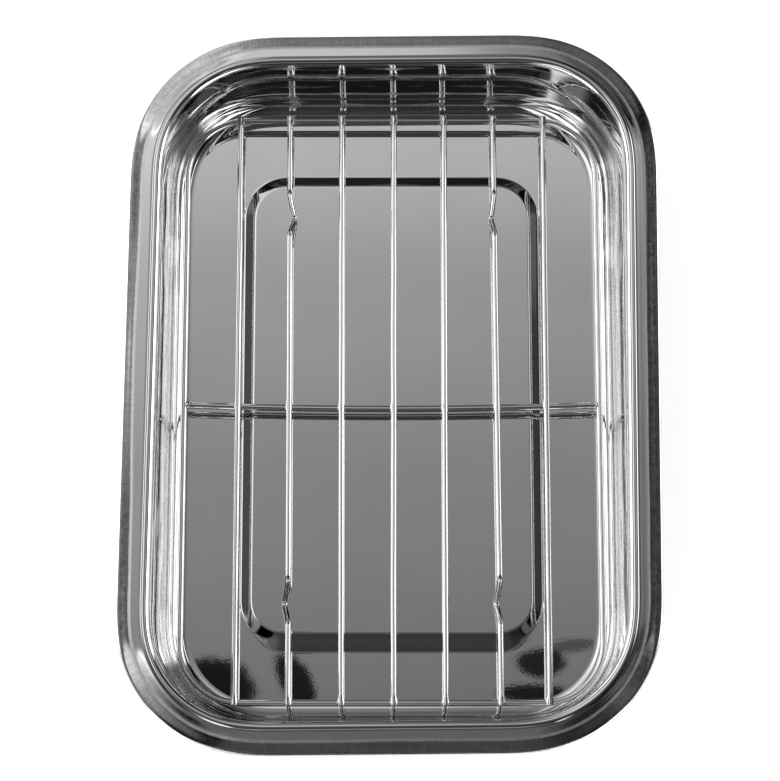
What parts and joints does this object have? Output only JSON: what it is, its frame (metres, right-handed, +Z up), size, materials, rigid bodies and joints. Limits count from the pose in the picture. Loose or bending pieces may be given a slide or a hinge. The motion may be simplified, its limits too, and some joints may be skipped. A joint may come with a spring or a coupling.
{
  "type": "roasting pan with rack",
  "caption": "Rectangular roasting pan of pressed steel with a raised floor panel and rolled rim, and a welded wire rack that lifts out.",
  "frame": {"origin": "middle of the pan's underside, on the surface that it stands on", "axes": "+Z up, +Y along the pan's length towards its back end, +X across to the right"},
  "size_m": [0.27, 0.372, 0.05],
  "materials": {
    "polished_sheet": "mirror-polished stainless sheet, satin on the rim's outer slope",
    "polished_wire": "bright electropolished stainless wire"
  },
  "bodies": {
    "pan": {"pan_shell": "polished_sheet"},
    "rack": {"rack_frame_wire": "polished_wire", "cross_wire": "polished_wire", "grid_wire_1": "polished_wire", "footed_wire_2": "polished_wire", "grid_wire_3": "polished_wire", "grid_wire_4": "polished_wire", "grid_wire_5": "polished_wire", "footed_wire_6": "polished_wire", "grid_wire_7": "polished_wire"}
  },
  "joints": [
    {"name": "rack_lift", "type": "slide", "parent": "pan", "child": "rack", "axis": [0, 0, 1], "range_m": [0, 0.06]}
  ]
}
